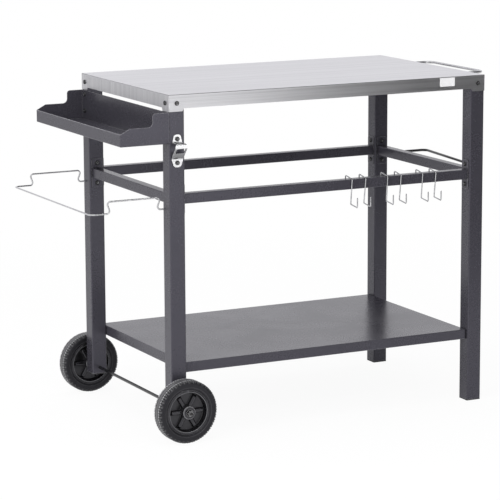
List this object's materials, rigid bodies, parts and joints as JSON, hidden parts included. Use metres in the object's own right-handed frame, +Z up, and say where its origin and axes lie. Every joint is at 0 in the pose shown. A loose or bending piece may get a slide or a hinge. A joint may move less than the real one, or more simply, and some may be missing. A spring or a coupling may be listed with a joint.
{
  "type": "garden serving trolley",
  "caption": "Wheeled outdoor serving trolley: steel top on a square-tube frame with a lower shelf, side tray, bag ring, rail hooks, bottle opener, towel bar and push handle.",
  "frame": {"origin": "on the floor, under the middle of the whole trolley's box", "axes": "+X along the length from the wheel end to the handle end, -Y towards the user at the front, +Z up"},
  "size_m": [1.1774, 0.6674, 0.848],
  "materials": {
    "brushed_top": "satin brushed stainless sheet",
    "painted_frame": "fine-textured dark grey powder coat",
    "bright_wire": "bright plated",
    "bright_opener": "tumbled bright steel",
    "dark_bar": "black coated rod",
    "zinc_hardware": "dull zinc",
    "black_screw": "black oxide",
    "tyre": "matt black tread",
    "wheel_plastic": "moulded black",
    "foot_plastic": "moulded black",
    "badge_white": "plain white"
  },
  "bodies": {
    "frame": {"axle": "dark_bar", "axle_nuts": "black_screw", "axle_spacers": "wheel_plastic", "axle_washers": "black_screw", "badge": "badge_white", "bottle_opener": "bright_opener", "feet": "foot_plastic", "handle_screws": "black_screw", "leg_back_left": "painted_frame", "leg_back_right": "painted_frame", "leg_front_left": "painted_frame", "leg_front_right": "painted_frame", "opener_nuts": "zinc_hardware", "opener_screws": "black_screw", "push_handle": "bright_wire", "rail_back": "painted_frame", "rail_front": "painted_frame", "rail_left": "painted_frame", "rail_nuts": "zinc_hardware", "rail_right": "painted_frame", "rail_screws": "black_screw", "shelf": "painted_frame", "shelf_nuts": "zinc_hardware", "shelf_screws": "black_screw", "shelf_stiffener": "painted_frame", "side_tray": "painted_frame", "table_top": "brushed_top", "top_nuts": "zinc_hardware", "top_screws": "black_screw", "top_stiffener": "brushed_top", "towel_bar": "dark_bar", "towel_nuts": "zinc_hardware", "towel_screws": "black_screw", "tray_nuts": "zinc_hardware", "tray_screws": "black_screw", "wheel_leg_plugs": "foot_plastic"},
    "front_wheel": {"tyre_front": "tyre", "rim_front": "wheel_plastic", "hub_bushes_front": "wheel_plastic"},
    "back_wheel": {"tyre_back": "tyre", "rim_back": "wheel_plastic", "hub_bushes_back": "wheel_plastic"},
    "pull_out_ring": {"bag_ring": "bright_wire"},
    "sliding_hook_1": {"hook_1": "bright_wire"},
    "sliding_hook_2": {"hook_2": "bright_wire"},
    "sliding_hook_3": {"hook_3": "bright_wire"},
    "sliding_hook_4": {"hook_4": "bright_wire"},
    "sliding_hook_5": {"hook_5": "bright_wire"},
    "sliding_hook_6": {"hook_6": "bright_wire"}
  },
  "joints": [
    {"name": "front_wheel_spin", "type": "hinge", "parent": "frame", "child": "front_wheel", "pos_m": [-0.36675, -0.2983, 0.078], "axis": [0, 1, 0], "continuous": true},
    {"name": "back_wheel_spin", "type": "hinge", "parent": "frame", "child": "back_wheel", "pos_m": [-0.36675, 0.2983, 0.078], "axis": [0, 1, 0], "continuous": true},
    {"name": "bag_ring_pull", "type": "slide", "parent": "frame", "child": "pull_out_ring", "axis": [-1, 0, 0], "range_m": [0, 0.024]},
    {"name": "hook_1_slide", "type": "slide", "parent": "frame", "child": "sliding_hook_1", "axis": [1, 0, 0], "range_m": [-0.451, 0.0173]},
    {"name": "hook_2_slide", "type": "slide", "parent": "frame", "child": "sliding_hook_2", "axis": [1, 0, 0], "range_m": [-0.0173, 0.0293]},
    {"name": "hook_3_slide", "type": "slide", "parent": "frame", "child": "sliding_hook_3", "axis": [1, 0, 0], "range_m": [-0.0293, 0.0173]},
    {"name": "hook_4_slide", "type": "slide", "parent": "frame", "child": "sliding_hook_4", "axis": [1, 0, 0], "range_m": [-0.0173, 0.0293]},
    {"name": "hook_5_slide", "type": "slide", "parent": "frame", "child": "sliding_hook_5", "axis": [1, 0, 0], "range_m": [-0.0293, 0.0173]},
    {"name": "hook_6_slide", "type": "slide", "parent": "frame", "child": "sliding_hook_6", "axis": [1, 0, 0], "range_m": [-0.0173, 0.088]}
  ]
}
